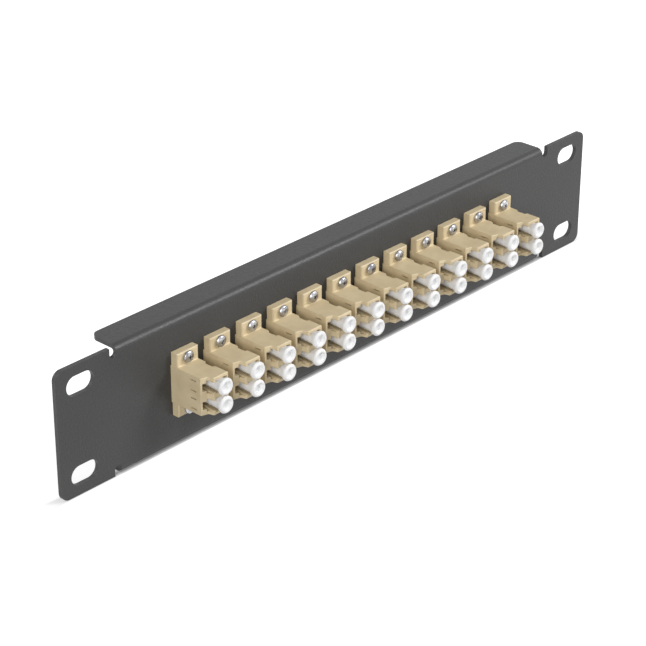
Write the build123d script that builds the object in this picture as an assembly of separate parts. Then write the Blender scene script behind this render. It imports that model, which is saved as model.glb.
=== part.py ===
from build123d import *
import os

# Fibre patch panel for a ten inch rack: one folded steel sheet that carries a row of duplex
# adapters, each screwed on through its flange and closed by push-in dust caps.
# Millimetres. X runs along the panel, Z is up, and the front looks towards -Y.
# The origin is the centre of the sheet's front face, midway between the four rack slots.

# Folded sheet
panel_length = 254.0
panel_height = 44.0
sheet_thickness = 1.5
flange_depth = 11.65
bend_radius = 0.9
ear_length = 24.2
relief_width = 2.8
relief_depth = 3.5
ear_corner_radius = 3.0
flange_corner_radius = 2.8

# Rack slots
slot_end_margin = 9.5
slot_spacing_z = 30.5
slot_length = 10.8
slot_height = 6.6

# Row of adapters
adapter_count = 12
adapter_pitch = 14.0
row_shift_x = 0.5
row_shift_z = 0.35
cutout_clearance = 0.15

# Port of an adapter, from the latch side across to the floor
latch_wall = 0.65
latch_channel_depth = 1.4
latch_channel_width = 2.7
wing_depth = 1.05
wing_width = 4.5
neck_depth = 0.8
neck_width = 3.5
cavity_height = 4.8
cavity_width = 4.75
floor_wall = 0.6
port_web = 1.55
end_wall = 0.975
back_wall = 2.0

# Nose of a housing half, measured from the seam between the halves
latch_side_reach = 11.5
nose_reach = 14.15
scoop_run = 2.5
scoop_rise = 0.7
step_run = 0.6
step_rounding = 0.6
housing_chamfer = 0.22

# Clip recess in the floor side
recess_start = 4.25
recess_ramp = 1.1
recess_length = 3.0
recess_depth = 0.9
recess_lip = 0.4

# Core slits in the latch side
slit_start = 7.1
slit_length = 2.6
slit_height = 0.4
slit_offset = 1.8

# Sleeve holders and the split sleeves they hold
holder_diameter = 2.8
holder_reach = 5.5
holder_mouth_diameter = 1.4
sleeve_diameter = 1.6
sleeve_bore = 1.25
sleeve_length = 6.4
sleeve_slit = 0.3
sleeve_clearance = 0.05

# Flange
flange_thickness = 2.7
tab_inset = 0.3
tab_fillet = 0.5
tab_chamfer = 0.3

# Flange screws and nuts
screw_diameter = 1.9
screw_head_diameter = 3.6
screw_head_height = 1.3
screw_head_bevel = 0.5
screw_head_clearance = 0.65
screw_edge_margin = 0.3
screw_hole_clearance = 0.15
screw_tail = 0.9
nut_width = 4.0
nut_thickness = 1.6
nut_clearance = 0.05

# Dust caps
cap_standout = 2.65
cap_rim_gap = 0.4
cap_rim_length = 0.4
cap_shank_clearance = 0.15
cap_socket_clearance = 0.07
cap_socket_wall = 0.45
cap_socket_overlap = 2.5
cap_socket_end_gap = 0.3
cap_dish_diameter = 3.3
cap_dish_depth = 0.6
cap_hole_diameter = 2.4
cap_hole_depth = 4.0

# Sizes that follow
fold_length = panel_length - 2 * ear_length
slot_spacing_x = panel_length - 2 * slot_end_margin
bend_outer = bend_radius + sheet_thickness
port_pitch = cavity_width + port_web
body_height = 2 * (cavity_width + end_wall) + port_web
latch_side_depth = latch_wall + latch_channel_depth + wing_depth + neck_depth
body_width = latch_side_depth + cavity_height + floor_wall
latch_face = -body_width / 2
floor_face = body_width / 2
ferrule_x = floor_face - floor_wall - cavity_height / 2
half_flange = flange_thickness / 2
screw_offset = body_height / 2 + screw_head_diameter / 2 + screw_head_clearance
tab_reach = screw_offset + screw_head_diameter / 2 + screw_edge_margin
screw_length = flange_thickness + sheet_thickness + nut_thickness + screw_tail
row_x = [row_shift_x + (i - (adapter_count - 1) / 2) * adapter_pitch for i in range(adapter_count)]
port_sides = {"upper": port_pitch / 2, "lower": -port_pitch / 2}
screw_sides = {"upper": screw_offset, "lower": -screw_offset}


def rack_panel():
    """Face sheet with an ear at each end, and a flange folded back along the top and the bottom."""
    outer = Rectangle(flange_depth, panel_height, align=(Align.MIN, Align.CENTER))
    outer = fillet(outer.vertices().group_by(Axis.X)[0], bend_outer)
    inner = Rectangle(flange_depth, panel_height - 2 * sheet_thickness, align=(Align.MIN, Align.CENTER))
    inner = fillet(inner.vertices().group_by(Axis.X)[0], bend_radius)
    section = outer - Pos(sheet_thickness, 0) * inner
    channel = extrude(Plane.YZ * section, fold_length / 2, both=True)
    back_corners = channel.edges().filter_by(Axis.Z).group_by(Axis.Y)[-1]
    channel = fillet(back_corners, flange_corner_radius)

    face = RectangleRounded(panel_length, panel_height, ear_corner_radius)
    relief_x = (fold_length + relief_width) / 2
    relief_bottom = panel_height / 2 - relief_depth
    folded_height = bend_outer
    for side in (1, -1):
        strip_z = side * (panel_height - folded_height) / 2
        face -= Pos(0, strip_z) * Rectangle(2 * relief_x, folded_height)
        for end in (1, -1):
            round_z = side * (relief_bottom + relief_width / 2)
            open_z = side * (relief_bottom + relief_width / 2 + relief_depth / 2)
            face -= Pos(end * relief_x, round_z) * Circle(relief_width / 2)
            face -= Pos(end * relief_x, open_z) * Rectangle(relief_width, relief_depth)
    face -= GridLocations(slot_spacing_x, slot_spacing_z, 2, 2) * SlotOverall(slot_length, slot_height)
    sheet = extrude(Plane.XZ * face, -sheet_thickness)
    return sheet + channel - adapter_cutouts()


def adapter_cutouts():
    """Windows that the rear halves pass through, with a screw hole above and below each one."""
    window = Rectangle(body_width + 2 * cutout_clearance, body_height + 2 * cutout_clearance)
    hole = Circle(screw_diameter / 2 + screw_hole_clearance)
    cutouts = Sketch()
    for x in row_x:
        cutouts += Pos(x, row_shift_z) * window
        for z in screw_sides.values():
            cutouts += Pos(x, row_shift_z + z) * hole
    return extrude(Plane.XZ.offset(sheet_thickness) * cutouts, -3 * sheet_thickness)


def housing_plan():
    """Outline of a half seen from above: scooped step in the nose, clip recess on the floor side."""
    step_near = latch_face + scoop_run
    step_far = step_near + step_run
    recess_floor = floor_face - recess_depth
    recess_deep_start = recess_start + recess_ramp
    recess_deep_end = recess_deep_start + recess_length
    outline = Polyline(
        (latch_face, 0),
        (latch_face, -latch_side_reach),
        (step_near, -latch_side_reach - scoop_rise),
        (step_far, -nose_reach),
        (floor_face, -nose_reach),
        (floor_face, -recess_deep_end - recess_lip),
        (recess_floor, -recess_deep_end),
        (recess_floor, -recess_deep_start),
        (floor_face, -recess_start),
        (floor_face, 0),
        close=True,
    )
    plan = make_face(outline)
    step_corners = plan.vertices().filter_by_position(Axis.X, step_near - 0.01, step_far + 0.01)
    return fillet(step_corners, step_rounding)


def is_tab_corner(edge):
    """True for the inner corners where the body rises out of the flange tabs."""
    on_flange = abs(edge.center().Y + half_flange) < 0.01
    on_body = abs(abs(edge.center().Z) - body_height / 2) < 0.01
    return on_flange and on_body


def port_section():
    """Mouth of one port, centred on its ferrule: square cavity, neck, wings and latch channel."""
    neck_x = -cavity_height / 2 - neck_depth / 2
    wing_x = -cavity_height / 2 - neck_depth - wing_depth / 2
    channel_x = wing_x - wing_depth / 2 - latch_channel_depth / 2
    section = Rectangle(cavity_height, cavity_width)
    section += Pos(neck_x, 0) * Rectangle(neck_depth, neck_width)
    section += Pos(wing_x, 0) * Rectangle(wing_depth, wing_width)
    section += Pos(channel_x, 0) * Rectangle(latch_channel_depth, latch_channel_width)
    return section


def housing_half(tab_corner_fillet):
    """Half of an adapter, with the seam at Y = 0 and the ports opening towards -Y."""
    body = extrude(Pos(0, 0, -body_height / 2) * housing_plan(), body_height)
    long_edges = body.edges().group_by(Axis.Z)[0] + body.edges().group_by(Axis.Z)[-1]
    long_edges = long_edges.filter_by(lambda edge: edge.center().Y < -0.01)
    body = chamfer(long_edges, housing_chamfer)

    tab_width = body_width - tab_inset
    tabs = Pos(tab_inset / 2, -half_flange / 2, 0) * Box(tab_width, half_flange, 2 * tab_reach)
    if tab_corner_fillet:
        tabs = chamfer(tabs.edges().group_by(Axis.Y)[0], tab_chamfer)
    body = body + tabs
    if tab_corner_fillet:
        corners = body.edges().filter_by(Axis.X).filter_by(is_tab_corner)
        body = fillet(corners, tab_fillet)

    mouth = Plane.XZ.offset(back_wall)
    for z in port_sides.values():
        body -= extrude(mouth * Pos(ferrule_x, z) * port_section(), nose_reach)
        body += extrude(Plane.XZ * Pos(ferrule_x, z) * Circle(holder_diameter / 2), holder_reach)
        pocket_diameter = sleeve_diameter + 2 * sleeve_clearance
        pocket_depth = sleeve_length / 2 + sleeve_clearance
        body -= extrude(Plane.XZ * Pos(ferrule_x, z) * Circle(pocket_diameter / 2), pocket_depth)
        body -= extrude(Plane.XZ * Pos(ferrule_x, z) * Circle(holder_mouth_diameter / 2), holder_reach)
        for side in (1, -1):
            slit = Box(latch_wall + latch_channel_depth, slit_length, slit_height, align=Align.MIN)
            slit_z = z + side * slit_offset - slit_height / 2
            body -= Pos(latch_face, -slit_start - slit_length, slit_z) * slit

    hole = Circle(screw_diameter / 2 + screw_hole_clearance)
    for z in screw_sides.values():
        body -= extrude(Plane.XZ * Pos(0, z) * hole, half_flange)
    return body


def alignment_sleeve():
    """Split sleeve that lines up the two ferrules, open along one side."""
    ring = Circle(sleeve_diameter / 2) - Circle(sleeve_bore / 2)
    ring -= Pos(sleeve_diameter / 2, 0) * Rectangle(sleeve_diameter, sleeve_slit)
    return extrude(Plane.XZ * ring, sleeve_length / 2, both=True)


def dust_cap():
    """Cap for a front port, on the ferrule axis: a socket over the sleeve holder, a shank and a pull rim."""
    rim_radius = (port_pitch - cap_rim_gap) / 2
    shank_radius = cavity_width / 2 - cap_shank_clearance
    socket_radius = holder_diameter / 2 + cap_socket_clearance
    front = -nose_reach - cap_standout
    socket_mouth = -holder_reach + cap_socket_overlap
    socket_end = -holder_reach - cap_socket_end_gap
    profile = make_face(
        Polyline(
            (socket_radius, socket_mouth),
            (socket_radius + cap_socket_wall, socket_mouth),
            (shank_radius, -nose_reach),
            (rim_radius, front + cap_rim_length),
            (rim_radius, front),
            (cap_dish_diameter / 2, front),
            (cap_hole_diameter / 2, front + cap_dish_depth),
            (cap_hole_diameter / 2, front + cap_hole_depth),
            (0, front + cap_hole_depth),
            (0, socket_end),
            (socket_radius, socket_end),
            close=True,
        )
    )
    return revolve(profile, Axis.Y)


def flange_screw():
    """Pan head screw, seated at Y = 0 with its shank towards +Y."""
    head = extrude(Plane.XZ * Circle(screw_head_diameter / 2), screw_head_height)
    head = chamfer(head.edges().group_by(Axis.Y)[0], screw_head_bevel)
    shank = extrude(Plane.XZ * Circle(screw_diameter / 2), -screw_length)
    return head + shank


def hex_nut():
    """Hexagon nut with its seat at Y = 0, on a screw that points towards +Y."""
    section = RegularPolygon(nut_width / 2, 6, major_radius=False)
    section -= Circle(screw_diameter / 2 + nut_clearance)
    return extrude(Plane.XZ * section, -nut_thickness)


def save(shape, node):
    """Write one node as a STEP file."""
    export_step(shape, f"parts/{node}.step")


def main():
    """Build every node in its place in the assembled panel."""
    os.makedirs("parts", exist_ok=True)
    seam = -half_flange
    front_half = housing_half(tab_corner_fillet=True)
    rear_half = mirror(housing_half(tab_corner_fillet=False), Plane.XZ)
    front_cap = dust_cap()
    rear_cap = mirror(front_cap, Plane.XZ)
    sleeve = alignment_sleeve()
    screw = flange_screw()
    nut = hex_nut()

    save(rack_panel(), "rack_panel")
    rear_caps = []
    sleeves = []
    for number, x in enumerate(row_x, start=1):
        place = Pos(x, seam, row_shift_z)
        save(place * front_half, f"front_housing_{number:02d}")
        save(place * rear_half, f"rear_housing_{number:02d}")
        for side, z in port_sides.items():
            port = place * Pos(ferrule_x, 0, z)
            save(port * front_cap, f"front_cap_{number:02d}_{side}")
            rear_caps.append(port * rear_cap)
            sleeves.append(port * sleeve)
    save(Compound(children=rear_caps), "rear_caps")
    save(Compound(children=sleeves), "alignment_sleeves")
    for side, z in screw_sides.items():
        seats = [Pos(x, 0, row_shift_z + z) for x in row_x]
        screws = [seat * Pos(0, -flange_thickness, 0) * screw for seat in seats]
        nuts = [seat * Pos(0, sheet_thickness, 0) * nut for seat in seats]
        save(Compound(children=screws), f"{side}_flange_screws")
        save(Compound(children=nuts), f"{side}_nuts")


main()
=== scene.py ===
import math

import bmesh
import bpy
from mathutils import Matrix, Vector


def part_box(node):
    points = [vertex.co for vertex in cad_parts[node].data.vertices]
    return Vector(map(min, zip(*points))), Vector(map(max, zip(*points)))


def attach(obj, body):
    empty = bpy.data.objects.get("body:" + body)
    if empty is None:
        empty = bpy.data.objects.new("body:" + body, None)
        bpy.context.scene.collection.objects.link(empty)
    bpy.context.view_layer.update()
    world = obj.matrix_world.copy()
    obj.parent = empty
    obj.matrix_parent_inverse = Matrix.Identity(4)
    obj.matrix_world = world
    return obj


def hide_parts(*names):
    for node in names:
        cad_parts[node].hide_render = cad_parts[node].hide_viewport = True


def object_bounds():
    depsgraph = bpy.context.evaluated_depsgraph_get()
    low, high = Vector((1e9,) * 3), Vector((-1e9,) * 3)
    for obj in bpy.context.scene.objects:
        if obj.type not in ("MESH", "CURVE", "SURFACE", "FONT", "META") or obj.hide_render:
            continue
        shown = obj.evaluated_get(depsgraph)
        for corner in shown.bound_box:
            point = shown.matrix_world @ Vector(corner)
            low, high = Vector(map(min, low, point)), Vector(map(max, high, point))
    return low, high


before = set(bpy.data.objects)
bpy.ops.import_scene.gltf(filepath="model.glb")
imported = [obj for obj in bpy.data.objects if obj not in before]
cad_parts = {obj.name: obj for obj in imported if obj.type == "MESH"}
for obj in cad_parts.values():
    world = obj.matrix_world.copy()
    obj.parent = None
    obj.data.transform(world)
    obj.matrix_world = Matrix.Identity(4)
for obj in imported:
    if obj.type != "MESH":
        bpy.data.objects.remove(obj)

# Fibre patch panel: finishes, screws, nuts, dust caps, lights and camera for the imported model.
# Metres, in the model's own frame: X along the panel, Z up, the front towards -Y.

MM = 0.001
CAD_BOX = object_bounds()
SCENE = bpy.context.scene
FRONT_HOUSINGS = sorted(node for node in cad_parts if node.startswith("front_housing"))
FRONT_CAPS = sorted(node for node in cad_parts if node.startswith("front_cap"))
BLACK = (0.0, 0.0, 0.0)
WHITE = (1.0, 1.0, 1.0)

# The photograph's view, with angles in degrees and the lens and sensor in millimetres
VIEW_AZIMUTH = -47.14
VIEW_ELEVATION = 27.34
VIEW_ROLL = 0.08
VIEW_DISTANCE = 0.72735
VIEW_TARGET = Vector((-0.01258, 0.0, -0.0044))
VIEW_LENS = 123.21
SENSOR_WIDTH = 36.0

# Floor
FLOOR_DROP = 0.2 * MM
FLOOR_SIZE = 20.0
FLOOR_WHITE = 0.32
FLOOR_ROUGHNESS = 0.9
# The white glow that the floor shows of its own to the camera, mirrors and glass, for each distance
# behind the sheet's front face.
# It is least under and along the sheet, which paints a dark contact-shadow band there, and it is a
# little lower behind the panel, as painted shade.
FLOOR_GLOW_WITH_PAINTED_SHADE = {
    -0.6 * MM: 1.0,
    0.0: 0.46,
    0.7 * MM: 0.16,
    1.4 * MM: 0.0,
    4 * MM: 0.8,
    40 * MM: 0.85,
    60 * MM: 1.0,
}
# Distances to each side of the panel's middle between which the painted shade fades and that white comes
# back to full
PAINTED_SHADE_FADE = (110 * MM, 140 * MM)

# Softboxes that face the panel's middle: place, length of a side, power in watts
LAMPS = {
    "key": ((0.75, -0.78, 0.74), 0.45, 13.2),
    "fill": ((-1.05, -0.66, 0.46), 0.6, 10.0),
    "back": ((-0.3, 1.2, 0.27), 0.5, 12.4),
}
WORLD_STRENGTH = 0.2

# Finishes: linear colours, shader levels, the sizes of a noise's blotches and the heights of bumps
COAT_DARK = (0.038, 0.038, 0.038)
COAT_LIGHT = (0.068, 0.068, 0.068)
COAT_SPECULAR = 0.27
COAT_ROUGHNESS = 0.37
COAT_GRAIN = 0.8 * MM
COAT_CLOUD = 22 * MM
COAT_BUMP = 0.06 * MM
BEIGE_DARK = (0.565, 0.458, 0.283)
BEIGE_LIGHT = (0.68, 0.565, 0.362)
BEIGE_ROUGHNESS = 0.5
BEIGE_SKIN = 0.35 * MM
BEIGE_FLOW = 5 * MM
BEIGE_BUMP = 0.012 * MM
CAP_WHITE = (0.86, 0.86, 0.86)
CAP_SHADE = (0.82, 0.82, 0.83)
CAP_SPECULAR = 0.2
CAP_ROUGHNESS = 0.5
CAP_FLOW = 3 * MM
CAP_SCATTER_SHARE = 0.5
CAP_SCATTER_DEPTH = 2.0 * MM
CAP_SCATTER_RATIO = (1.0, 1.0, 1.0)
STEEL = (0.58, 0.58, 0.60)
STEEL_DARK = (0.24, 0.24, 0.26)
STEEL_MARKS = 0.15 * MM
STEEL_PATCHES = 1.5 * MM
STEEL_BUMP = 0.01 * MM
SCREW_ROUGHNESS = 0.2
NUT_ROUGHNESS = 0.32
CERAMIC = (0.86, 0.86, 0.83)
CERAMIC_ROUGHNESS = 0.22
CERAMIC_GRIND = 0.2 * MM

# How much each noise moves a colour or a roughness
COAT_PEBBLE_TINT = 0.2
COAT_CLOUD_TINT = 0.5
COAT_PEBBLE_POLISH = 0.05
COAT_CLOUD_DULLING = 0.12
BEIGE_FLOW_TINT = 0.7
BEIGE_SKIN_TINT = 0.3
BEIGE_SKIN_DULLING = 0.1
CAP_FLOW_DULLING = 0.08
STEEL_MARK_DULLING = 0.12
CERAMIC_GRIND_DULLING = 0.1
# The part of a noise that is stretched to its full range, for pebbles and for blotches
PEBBLE_RANGE = (0.35, 0.68)
BLOTCH_RANGE = (0.3, 0.7)

# Places of the colour sockets on a Mix node, whose names repeat for each type of data
MIX_FACTOR = 0
MIX_FIRST = 6
MIX_SECOND = 7
MIX_RESULT = 2

# Screw heads, where the undercut is both the rim's height over the seat and its reach past it
HEAD_SQUARENESS = 2.9
HEAD_UNDERCUT = 0.3 * MM
HEAD_RINGS = 14
# How far the rim of a screw head stands out past the plain head in the solids
HEAD_OVERHANG = 0.2 * MM

# Driver recess: the size of its cutter one depth above the head, and the share left at the bottom
CROSS_LENGTH = 2.0 * MM
CROSS_WIDTH = 0.48 * MM
CROSS_DEPTH = 0.8 * MM
CROSS_TAPER = 0.5

# The flange that the heads are seated on, and the threads
FLANGE_THICKNESS = 2.7 * MM
SHANK_RADIUS = 0.95 * MM
THREAD_PITCH = 0.4 * MM
THREAD_DEPTH = 0.17 * MM
THREAD_ROWS_PER_TURN = 8
THREAD_SEGMENTS = 20

# Nuts. The chamfer is a cone from inside the nut's flats to outside its corners, and its slope is
# length over radius.
NUT_SIDES = 6
NUT_BORE = 1.0 * MM
CHAMFER_INSIDE = 0.1 * MM
CHAMFER_OUTSIDE = 0.3 * MM
CHAMFER_SLOPE = 0.58

# Faces round every turned form
TURNED_SEGMENTS = 48
# In a row, each screw or nut is turned this much further than its neighbour
TIGHTENING_STEP = math.radians(37)
# Edges of screws and nuts that turn by more than this are shaded sharp
SHARP_ANGLE = math.radians(32)
# Points closer than this become one after a cut
WELD_DISTANCE = 0.001 * MM

# Dust caps: radii, and distances behind the front face. The socket's depth is from the other end.
CAP_HOLE_RADIUS = 1.4 * MM
CAP_HOLE_DEPTH = 1.2 * MM
CAP_DISH_RADIUS = 1.8 * MM
CAP_DISH_DEPTH = 0.8 * MM
CAP_RIM_LENGTH = 0.7 * MM
CAP_RIM_BEVEL = 0.5 * MM
CAP_FLARE_LENGTH = 2.65 * MM
CAP_SHANK_RADIUS = 2.225 * MM
CAP_SOCKET_RADIUS = 1.47 * MM
CAP_SOCKET_WALL = 0.45 * MM
CAP_SOCKET_DEPTH = 2.8 * MM

# Radii of a cap's rounded corners
ROUND_HOLE = 0.3 * MM
ROUND_BEVEL = 0.4 * MM
ROUND_RIM = 0.5 * MM
ROUND_FLARE = 3.0 * MM
ROUND_SOCKET = 0.1 * MM
ROUND_STEPS = 5
# The most of a profile's side that one rounded corner takes
ROUND_SHARE = 0.49


class Wire:
    """One output of a shader node. Sums, differences and products of it add Math nodes."""

    def __init__(self, tree, socket):
        self.tree = tree
        self.socket = socket

    def _math(self, operation, first, second):
        return self.tree.node("ShaderNodeMath", {"operation": operation}, {0: first, 1: second})

    def __add__(self, other):
        return self._math("ADD", self, other)

    def __radd__(self, other):
        return self._math("ADD", other, self)

    def __sub__(self, other):
        return self._math("SUBTRACT", self, other)

    def __mul__(self, other):
        return self._math("MULTIPLY", self, other)

    def __rmul__(self, other):
        return self._math("MULTIPLY", other, self)


class Tree:
    """A node tree that is written as expressions."""

    def __init__(self, tree):
        self.nodes = tree.nodes
        self.links = tree.links

    def feed(self, socket, value):
        """Link a wire to a socket, or set the socket's own value."""
        if isinstance(value, Wire):
            self.links.new(value.socket, socket)
        else:
            socket.default_value = value

    def node(self, kind, settings, values, output=0):
        """Add a node: its settings come first, then its sockets' values or links."""
        made = self.nodes.new(kind)
        for name, value in settings.items():
            setattr(made, name, value)
        for name, value in values.items():
            self.feed(made.inputs[name], value)
        return Wire(self, made.outputs[output])

    def seen(self):
        """1 for rays from the camera, a mirror or glass, 0 for those that light matt surfaces."""
        camera_ray = self.node("ShaderNodeLightPath", {}, {}, "Is Camera Ray")
        glossy_ray = self.node("ShaderNodeLightPath", {}, {}, "Is Glossy Ray")
        clear_ray = self.node("ShaderNodeLightPath", {}, {}, "Is Transmission Ray")
        return self.larger(camera_ray + clear_ray, glossy_ray)

    def larger(self, first, second):
        """The larger of two values."""
        return self.node("ShaderNodeMath", {"operation": "MAXIMUM"}, {0: first, 1: second})

    def tint(self, factor, first, second):
        """Mix two colours."""
        values = {MIX_FACTOR: factor, MIX_FIRST: (*first, 1.0), MIX_SECOND: (*second, 1.0)}
        return self.node("ShaderNodeMix", {"data_type": "RGBA"}, values, MIX_RESULT)


class Finish(Tree):
    """A material for one kind of surface."""

    def __init__(self, name):
        self.material = bpy.data.materials.new(name)
        self.material.use_nodes = True
        super().__init__(self.material.node_tree)
        self.nodes.clear()
        self.surface = self.nodes.new("ShaderNodeBsdfPrincipled")
        output = self.nodes.new("ShaderNodeOutputMaterial")
        self.links.new(self.surface.outputs[0], output.inputs["Surface"])

    def noise(self, size, detail=2.0, roughness=0.5):
        """Noise from 0 to 1 over the object, with blotches of about this size in metres."""
        place = self.node("ShaderNodeTexCoord", {}, {}, "Object")
        values = {"Vector": place, "Scale": 1.0 / size, "Detail": detail, "Roughness": roughness}
        return self.node("ShaderNodeTexNoise", {}, values)

    def spread(self, value, low, high):
        """Stretch the part of a value between low and high to 0 to 1."""
        return self.node("ShaderNodeMapRange", {}, {"Value": value, "From Min": low, "From Max": high})

    def ramp(self, value, stops):
        """Level that runs straight between the stops, which are given as value: level."""
        first, last = min(stops), max(stops)
        made = self.nodes.new("ShaderNodeValToRGB")
        for spare in list(made.color_ramp.elements)[1:]:
            made.color_ramp.elements.remove(spare)
        made.color_ramp.elements[0].position = 0.0
        made.color_ramp.elements[0].color = (stops[first], stops[first], stops[first], 1.0)
        for stop in sorted(stops)[1:]:
            element = made.color_ramp.elements.new((stop - first) / (last - first))
            element.color = (stops[stop], stops[stop], stops[stop], 1.0)
        self.feed(made.inputs["Fac"], self.spread(value, first, last))
        return Wire(self, made.outputs["Color"])

    def bump(self, height, distance, strength):
        """Surface normal from a height of 0 to 1 that stands this many metres proud."""
        values = {"Height": height, "Distance": distance, "Strength": strength}
        return self.node("ShaderNodeBump", {}, values)

    def shade(self, **values):
        """Set the surface shader's sockets, named with underscores for spaces, and give the material."""
        for name, value in values.items():
            self.feed(self.surface.inputs[name.replace("_", " ")], value)
        return self.material


def powder_coat():
    """Black textured powder coat: fine pebbled grain with a dull sheen."""
    finish = Finish("powder_coat")
    grain = finish.noise(COAT_GRAIN, detail=3.0, roughness=0.6)
    cloud = finish.noise(COAT_CLOUD)
    pebbles = finish.spread(grain, *PEBBLE_RANGE)
    mottle = pebbles * COAT_PEBBLE_TINT + cloud * COAT_CLOUD_TINT
    return finish.shade(
        Base_Color=finish.tint(mottle, COAT_DARK, COAT_LIGHT),
        Roughness=COAT_ROUGHNESS + COAT_CLOUD_DULLING * cloud - COAT_PEBBLE_POLISH * pebbles,
        Specular_IOR_Level=COAT_SPECULAR,
        Normal=finish.bump(pebbles, COAT_BUMP, strength=0.6),
    )


def moulded_beige():
    """Beige moulded plastic of the adapters, faintly mottled with a matt skin."""
    finish = Finish("moulded_beige")
    skin = finish.noise(BEIGE_SKIN)
    flow = finish.noise(BEIGE_FLOW)
    mottle = finish.spread(flow * BEIGE_FLOW_TINT + skin * BEIGE_SKIN_TINT, *BLOTCH_RANGE)
    return finish.shade(
        Base_Color=finish.tint(mottle, BEIGE_DARK, BEIGE_LIGHT),
        Roughness=BEIGE_ROUGHNESS + BEIGE_SKIN_DULLING * skin,
        Normal=finish.bump(skin, BEIGE_BUMP, strength=0.5),
    )


def cap_plastic():
    """Soft white plastic of the dust caps, a little translucent."""
    finish = Finish("cap_plastic")
    flow = finish.noise(CAP_FLOW)
    return finish.shade(
        Base_Color=finish.tint(finish.spread(flow, *BLOTCH_RANGE), CAP_SHADE, CAP_WHITE),
        Roughness=CAP_ROUGHNESS + CAP_FLOW_DULLING * flow,
        Specular_IOR_Level=CAP_SPECULAR,
        Subsurface_Weight=CAP_SCATTER_SHARE,
        Subsurface_Radius=CAP_SCATTER_RATIO,
        Subsurface_Scale=CAP_SCATTER_DEPTH,
    )


def plated_steel(name, roughness):
    """Bright plated steel with fine machining marks."""
    finish = Finish(name)
    marks = finish.noise(STEEL_MARKS)
    patches = finish.noise(STEEL_PATCHES)
    return finish.shade(
        Base_Color=finish.tint(finish.spread(patches, *BLOTCH_RANGE), STEEL_DARK, STEEL),
        Metallic=1.0,
        Roughness=roughness + STEEL_MARK_DULLING * marks,
        Normal=finish.bump(marks, STEEL_BUMP, strength=0.4),
    )


def ground_ceramic():
    """White ceramic of the alignment sleeves."""
    finish = Finish("ground_ceramic")
    grind = finish.noise(CERAMIC_GRIND)
    return finish.shade(
        Base_Color=(*CERAMIC, 1.0),
        Roughness=CERAMIC_ROUGHNESS + CERAMIC_GRIND_DULLING * grind,
    )


def dress(node, material):
    """Give a CAD node one material."""
    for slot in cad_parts[node].material_slots:
        slot.material = material


def rounded(corners):
    """Profile of (first, second) points whose corners, given as (first, second, radius), are rounded."""
    points = []
    for i, (x, y, radius) in enumerate(corners):
        corner = Vector((x, y))
        if radius == 0.0:
            points.append(corner)
            continue
        before = Vector(corners[i - 1][:2]) - corner
        after = Vector(corners[i + 1][:2]) - corner
        half = before.angle(after) / 2
        reach = min(radius / math.tan(half), ROUND_SHARE * before.length, ROUND_SHARE * after.length)
        start = corner + before.normalized() * reach
        end = corner + after.normalized() * reach
        for step in range(ROUND_STEPS + 1):
            share = step / ROUND_STEPS
            points.append(start.lerp(corner, share).lerp(corner.lerp(end, share), share))
    return [tuple(point) for point in points]


def lathe(profile):
    """Mesh of a profile of (radius, y) points turned about the Y axis, closed at both ends."""
    mesh = bmesh.new()
    rings = []
    for radius, y in profile:
        if radius == 0.0:
            rings.append([mesh.verts.new((0.0, y, 0.0))])
            continue
        turns = [2 * math.pi * i / TURNED_SEGMENTS for i in range(TURNED_SEGMENTS)]
        rings.append([mesh.verts.new((radius * math.cos(a), y, radius * math.sin(a))) for a in turns])
    for near, far in zip(rings, rings[1:]):
        for i in range(TURNED_SEGMENTS):
            j = (i + 1) % TURNED_SEGMENTS
            corners = [near[i % len(near)], near[j % len(near)], far[j % len(far)], far[i % len(far)]]
            mesh.faces.new(list(dict.fromkeys(corners)))
    bmesh.ops.recalc_face_normals(mesh, faces=mesh.faces)
    return mesh


def as_object(mesh, name):
    """Turn a bmesh into an object in the scene."""
    data = bpy.data.meshes.new(name)
    mesh.to_mesh(data)
    mesh.free()
    made = bpy.data.objects.new(name, data)
    SCENE.collection.objects.link(made)
    return made


def cut(piece, cutter, operation="DIFFERENCE"):
    """Cut the cutter out of a piece, or keep what both share, drop the cutter and weld the piece."""
    step = piece.modifiers.new("cut", "BOOLEAN")
    step.operation = operation
    step.solver = "EXACT"
    step.object = cutter
    graph = bpy.context.evaluated_depsgraph_get()
    piece.data = bpy.data.meshes.new_from_object(piece.evaluated_get(graph))
    piece.modifiers.clear()
    bpy.data.objects.remove(cutter)
    whole = bmesh.new()
    whole.from_mesh(piece.data)
    bmesh.ops.remove_doubles(whole, verts=whole.verts, dist=WELD_DISTANCE)
    bmesh.ops.dissolve_degenerate(whole, dist=WELD_DISTANCE, edges=whole.edges)
    whole.to_mesh(piece.data)
    whole.free()


def cross_cutter(top):
    """Four-armed driver recess that narrows towards its bottom, from above the head down into it."""
    long, short = CROSS_LENGTH / 2, CROSS_WIDTH / 2
    arm = [(long, -short), (long, short), (short, short)]
    outline = []
    for _ in range(4):
        outline += arm
        arm = [(-z, x) for x, z in arm]
    mesh = bmesh.new()
    above = [mesh.verts.new((x, top - CROSS_DEPTH, z)) for x, z in outline]
    below = [mesh.verts.new((x * CROSS_TAPER, top + CROSS_DEPTH, z * CROSS_TAPER)) for x, z in outline]
    mesh.faces.new(above)
    mesh.faces.new(below)
    for i in range(len(outline)):
        j = (i + 1) % len(outline)
        mesh.faces.new((above[i], above[j], below[j], below[i]))
    bmesh.ops.recalc_face_normals(mesh, faces=mesh.faces)
    return as_object(mesh, "cross_cutter")


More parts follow.
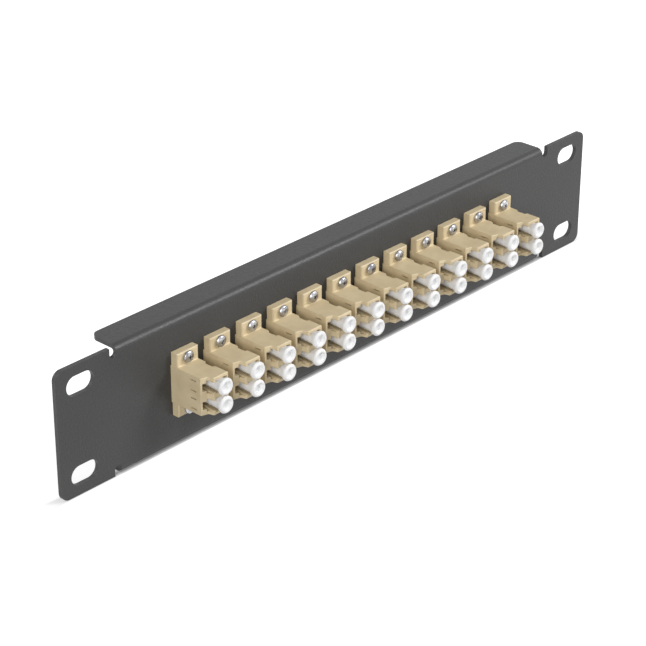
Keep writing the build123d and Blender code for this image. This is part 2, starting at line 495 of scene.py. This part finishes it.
def screw_head(radius, height):
    """Pan head with a cross recess and a slightly undercut seat at Y = 0, rising towards -Y."""
    profile = [(0.0, -height)]
    for i in range(1, HEAD_RINGS + 1):
        share = math.sin(math.pi / 2 * i / HEAD_RINGS)
        rise = (1.0 - share ** HEAD_SQUARENESS) ** (1.0 / HEAD_SQUARENESS)
        profile.append((radius * share, -HEAD_UNDERCUT - (height - HEAD_UNDERCUT) * rise))
    profile.append((radius - HEAD_UNDERCUT, 0.0))
    profile.append((0.0, 0.0))
    head = as_object(lathe(profile), "screw_head")
    cut(head, cross_cutter(-height))
    return head


def threaded_shank(radius, length):
    """Shank with a helical thread, from the head's seat at Y = 0 towards +Y."""
    rows = int(length / THREAD_PITCH * THREAD_ROWS_PER_TURN)
    mesh = bmesh.new()
    rings = []
    for row in range(rows + 1):
        y = length * row / rows
        ring = []
        for i in range(THREAD_SEGMENTS):
            phase = (y / THREAD_PITCH - i / THREAD_SEGMENTS) % 1.0
            groove = 1.0 - abs(2.0 * phase - 1.0)
            angle = 2 * math.pi * i / THREAD_SEGMENTS
            reach = radius - THREAD_DEPTH * groove
            ring.append(mesh.verts.new((reach * math.cos(angle), y, reach * math.sin(angle))))
        rings.append(ring)
    for near, far in zip(rings, rings[1:]):
        for i in range(THREAD_SEGMENTS):
            j = (i + 1) % THREAD_SEGMENTS
            mesh.faces.new((near[i], near[j], far[j], far[i]))
    mesh.faces.new(rings[0])
    mesh.faces.new(rings[-1])
    bmesh.ops.recalc_face_normals(mesh, faces=mesh.faces)
    return as_object(mesh, "threaded_shank")


def hexagon_nut(apothem, length):
    """Chamfered hexagon nut with a plain bore, from Y = 0 towards +Y."""
    side_turn = 2 * math.pi / NUT_SIDES
    corner = apothem / math.cos(side_turn / 2)
    mesh = bmesh.new()
    turns = [side_turn * i for i in range(NUT_SIDES)]
    ends = []
    for y in (0.0, length):
        ends.append([mesh.verts.new((corner * math.cos(a), y, corner * math.sin(a))) for a in turns])
        mesh.faces.new(ends[-1])
    for i in range(NUT_SIDES):
        j = (i + 1) % NUT_SIDES
        mesh.faces.new((ends[0][i], ends[0][j], ends[1][j], ends[1][i]))
    bmesh.ops.recalc_face_normals(mesh, faces=mesh.faces)
    nut = as_object(mesh, "nut")
    inner = apothem - CHAMFER_INSIDE
    outer = corner + CHAMFER_OUTSIDE
    rise = (outer - inner) * CHAMFER_SLOPE
    barrel = [
        (0.0, 0.0),
        (inner, 0.0),
        (outer, rise),
        (outer, length - rise),
        (inner, length),
        (0.0, length),
    ]
    cut(nut, as_object(lathe(barrel), "barrel"), "INTERSECT")
    bore = [(0.0, -length), (NUT_BORE, -length), (NUT_BORE, 2 * length), (0.0, 2 * length)]
    cut(nut, as_object(lathe(bore), "bore"))
    return nut


def screw_row(node, material):
    """One row of flange screws with their driver recesses and threads, in place of the plain ones."""
    low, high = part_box(node)
    # The seam behind a front housing is halfway through the flange
    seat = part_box(FRONT_HOUSINGS[0])[1].y - FLANGE_THICKNESS / 2
    head = screw_head((high.z - low.z) / 2 + HEAD_OVERHANG, seat - low.y)
    shank = threaded_shank(SHANK_RADIUS, high.y - seat)
    name = node.replace("flange_screws", "cross_head_screws")
    place_row([head, shank], seat, (low.z + high.z) / 2, name, node, material)


def nut_row(node, material):
    """One row of chamfered hexagon nuts, in place of the plain ones."""
    low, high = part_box(node)
    nut = hexagon_nut((high.z - low.z) / 2, high.y - low.y)
    name = node.replace("nuts", "hex_nuts")
    place_row([nut], low.y, (low.z + high.z) / 2, name, node, material)


def place_row(parts, seat, height, name, node, material):
    """Repeat small parts at every adapter as one piece, each turned as it happened to be tightened."""
    row = bmesh.new()
    for number, housing in enumerate(FRONT_HOUSINGS):
        left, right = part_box(housing)
        place = Matrix.Translation(((left.x + right.x) / 2, seat, height))
        turned = place @ Matrix.Rotation(TIGHTENING_STEP * number, 4, "Y")
        for part in parts:
            copy = part.data.copy()
            copy.transform(turned)
            row.from_mesh(copy)
            bpy.data.meshes.remove(copy)
    for part in parts:
        bpy.data.objects.remove(part)
    piece = as_object(row, name)
    piece.data.shade_smooth()
    piece.data.set_sharp_from_angle(angle=SHARP_ANGLE)
    piece.data.materials.append(material)
    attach(piece, "panel")
    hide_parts(node)


def cap_form(rim_radius, length):
    """Dust cap about the Y axis: rim's front face at Y = 0, flared shank and socket towards +Y."""
    socket_end = length - CAP_SOCKET_DEPTH
    profile = rounded(
        [
            (0.0, CAP_HOLE_DEPTH, 0.0),
            (CAP_HOLE_RADIUS, CAP_HOLE_DEPTH, ROUND_HOLE),
            (CAP_HOLE_RADIUS, CAP_DISH_DEPTH, ROUND_BEVEL),
            (CAP_DISH_RADIUS, 0.0, ROUND_HOLE),
            (rim_radius - CAP_RIM_BEVEL, 0.0, ROUND_BEVEL),
            (rim_radius, CAP_RIM_LENGTH, ROUND_RIM),
            (CAP_SHANK_RADIUS, CAP_FLARE_LENGTH, ROUND_FLARE),
            (CAP_SOCKET_RADIUS + CAP_SOCKET_WALL, length, ROUND_SOCKET),
            (CAP_SOCKET_RADIUS, length, ROUND_SOCKET),
            (CAP_SOCKET_RADIUS, socket_end, ROUND_SOCKET),
            (0.0, socket_end, 0.0),
        ]
    )
    return lathe(profile)


def front_caps(material):
    """Rounded dust caps in the front ports, each in place of its plain node."""
    shared = None
    for node in FRONT_CAPS:
        low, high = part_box(node)
        if shared is None:
            form = cap_form((high.z - low.z) / 2, high.y - low.y)
            shared = bpy.data.meshes.new("dust_cap")
            form.to_mesh(shared)
            form.free()
            shared.shade_smooth()
            shared.materials.append(material)
        piece = bpy.data.objects.new(node.replace("front_cap", "front_dust_cap"), shared)
        piece.location = ((low.x + high.x) / 2, low.y, (low.z + high.z) / 2)
        SCENE.collection.objects.link(piece)
        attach(piece, node)
        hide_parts(node)


def rear_caps(material):
    """The same caps in the rear ports, as one piece in place of their node."""
    rim_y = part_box("rear_caps")[1].y
    row = bmesh.new()
    for node in FRONT_CAPS:
        low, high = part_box(node)
        form = cap_form((high.z - low.z) / 2, high.y - low.y)
        centre = Vector(((low.x + high.x) / 2, rim_y, (low.z + high.z) / 2))
        placed = Matrix.Translation(centre) @ Matrix.Rotation(math.pi, 4, "Z")
        bmesh.ops.transform(form, matrix=placed, verts=form.verts)
        copy = bpy.data.meshes.new("copy")
        form.to_mesh(copy)
        form.free()
        row.from_mesh(copy)
        bpy.data.meshes.remove(copy)
    piece = as_object(row, "rear_dust_caps")
    piece.data.shade_smooth()
    piece.data.materials.append(material)
    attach(piece, "panel")
    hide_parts("rear_caps")


def soft_lamp(name, place, size, power):
    """Square softbox that faces the panel's middle."""
    data = bpy.data.lights.new(name, "AREA")
    data.shape = "SQUARE"
    data.size = size
    data.energy = power
    lamp = bpy.data.objects.new(name, data)
    lamp.location = place
    lamp.rotation_euler = (-Vector(place)).to_track_quat("-Z", "Y").to_euler()
    SCENE.collection.objects.link(lamp)


def camera():
    """Camera at the photograph's viewing angle."""
    azimuth = math.radians(VIEW_AZIMUTH)
    elevation = math.radians(VIEW_ELEVATION)
    flat = math.cos(elevation)
    back = Vector((math.sin(azimuth) * flat, -math.cos(azimuth) * flat, math.sin(elevation)))
    data = bpy.data.cameras.new("camera")
    data.lens = VIEW_LENS
    data.sensor_width = SENSOR_WIDTH
    made = bpy.data.objects.new("camera", data)
    made.location = VIEW_TARGET + back * VIEW_DISTANCE
    level = (-back).to_track_quat("-Z", "Y").to_matrix().to_4x4()
    made.rotation_euler = (level @ Matrix.Rotation(math.radians(VIEW_ROLL), 4, "Z")).to_euler()
    SCENE.collection.objects.link(made)
    SCENE.camera = made


def floor():
    """Pale floor that the panel stands on, as white as the surroundings, with painted shade along the
    sheet on top of its real shadow.
    """
    mesh = bmesh.new()
    bmesh.ops.create_grid(mesh, x_segments=1, y_segments=1, size=FLOOR_SIZE / 2)
    made = as_object(mesh, "floor")
    made.location = (0.0, 0.0, CAD_BOX[0].z - FLOOR_DROP)
    finish = Finish("pale_floor")
    place = finish.node("ShaderNodeNewGeometry", {}, {}, "Position")
    along = finish.node("ShaderNodeSeparateXYZ", {}, {0: place}, "X")
    behind = finish.node("ShaderNodeSeparateXYZ", {}, {0: place}, "Y")
    reach = finish.node("ShaderNodeMath", {"operation": "ABSOLUTE"}, {0: along})
    # The floor's glow is lowered near the sheet: painted contact shade
    glow_with_painted_shade = finish.larger(finish.ramp(behind, FLOOR_GLOW_WITH_PAINTED_SHADE), finish.spread(reach, *PAINTED_SHADE_FADE))
    finish.shade(
        Base_Color=(FLOOR_WHITE, FLOOR_WHITE, FLOOR_WHITE, 1.0),
        Roughness=FLOOR_ROUGHNESS,
        Emission_Color=finish.tint(finish.seen() * glow_with_painted_shade, BLACK, WHITE),
        Emission_Strength=1.0,
    )
    made.data.materials.append(finish.material)


def surroundings():
    """Even light from all round, which the camera, metal and glass see as white."""
    SCENE.world = bpy.data.worlds.new("studio")
    SCENE.world.use_nodes = True
    room = Tree(SCENE.world.node_tree)
    light = room.nodes["Background"]
    light.inputs["Color"].default_value = (*WHITE, 1.0)
    room.feed(light.inputs["Strength"], WORLD_STRENGTH + room.seen() * (1.0 - WORLD_STRENGTH))


camera()
floor()
surroundings()
for name, (place, size, power) in LAMPS.items():
    soft_lamp(name, place, size, power)

coat = powder_coat()
beige = moulded_beige()
white = cap_plastic()
bright = plated_steel("screw_plate", SCREW_ROUGHNESS)
dull = plated_steel("nut_plate", NUT_ROUGHNESS)
ceramic = ground_ceramic()
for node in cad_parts:
    if node == "rack_panel":
        dress(node, coat)
    elif "housing" in node:
        dress(node, beige)
    elif "sleeves" in node:
        dress(node, ceramic)
front_caps(white)
rear_caps(white)
screw_row("upper_flange_screws", bright)
screw_row("lower_flange_screws", bright)
nut_row("upper_nuts", dull)
nut_row("lower_nuts", dull)

SCENE.view_settings.view_transform = "Standard"
